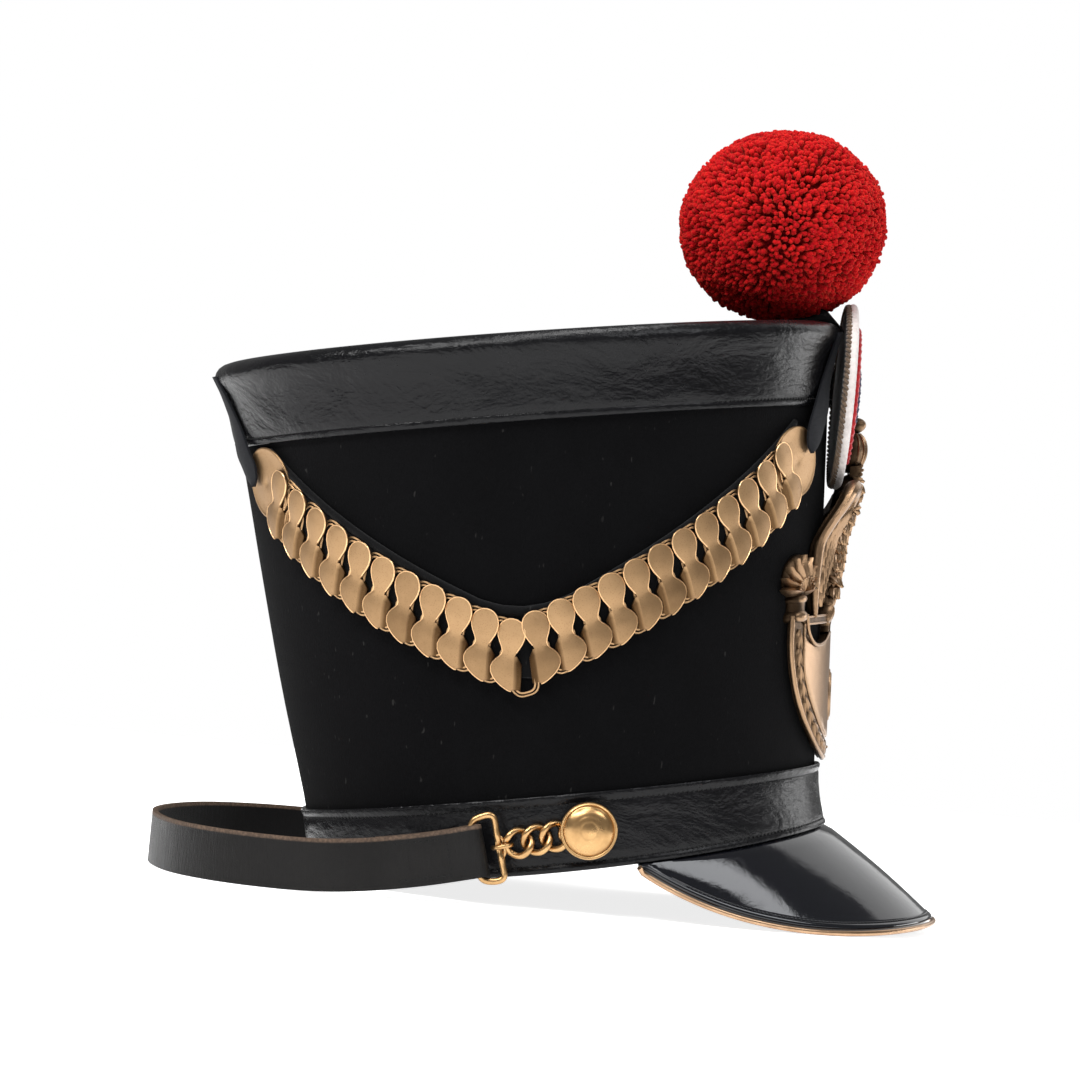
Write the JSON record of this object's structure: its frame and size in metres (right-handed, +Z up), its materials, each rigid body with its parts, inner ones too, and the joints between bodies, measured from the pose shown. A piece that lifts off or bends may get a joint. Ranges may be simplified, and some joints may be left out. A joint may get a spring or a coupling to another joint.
{
  "type": "shako hat",
  "caption": "Tall felt military cap with leather bands, patent peak, wool pompom, cockade, cast badge, brass side scales and a chin strap on curb chains.",
  "frame": {"origin": "centre of the bounding box's bottom, on the surface that the hat rests on", "axes": "-Y towards the front (peak), -X towards the wearer's right, +Z up; the hat rests tilted back about X on its peak's edge and the rear of its base"},
  "size_m": [0.2326, 0.3228, 0.3217],
  "materials": {
    "black_felt": "dense wool felt, matt black",
    "band_leather": "glossy black leather with fine creases",
    "patent_leather": "mirror-gloss blue-black patent leather",
    "strap_leather": "satin black leather with brown cut edges",
    "scale_brass": "satin, finely pitted",
    "bright_brass": "polished",
    "badge_brass": "antiqued relief, dark in its recesses",
    "red_wool": "cut wool yarn",
    "cockade_wool": "knitted wool",
    "black_ribbon": "woven tape"
  },
  "bodies": {
    "root": {"crown_shell": "black_felt", "crown_top": "band_leather", "top_band": "band_leather", "head_band": "band_leather", "peak": "patent_leather", "peak_binding": "bright_brass", "badge": "badge_brass", "cockade": "cockade_wool", "pompom": "red_wool", "pompom_holder": "band_leather", "chevron_right": "black_felt", "chevron_left": "black_felt", "scales_right_rear": "scale_brass", "scales_right_front": "scale_brass", "scales_left_rear": "scale_brass", "scales_left_front": "scale_brass", "scale_plate_right_rear": "scale_brass", "scale_plate_right_front": "scale_brass", "scale_plate_left_rear": "scale_brass", "scale_plate_left_front": "scale_brass", "ribbon_right_front": "black_ribbon", "ribbon_right_rear": "black_ribbon", "ribbon_left_front": "black_ribbon", "ribbon_left_rear": "black_ribbon", "button_right": "bright_brass", "button_left": "bright_brass", "curb_link_right_1": "bright_brass", "curb_link_right_2": "bright_brass", "curb_link_right_3": "bright_brass", "curb_link_right_4": "bright_brass", "curb_link_left_1": "bright_brass", "curb_link_left_2": "bright_brass", "curb_link_left_3": "bright_brass", "curb_link_left_4": "bright_brass", "connector_right": "bright_brass", "connector_left": "bright_brass", "buckle_right": "bright_brass", "buckle_left": "bright_brass", "chin_strap": "strap_leather"}
  },
  "joints": []
}
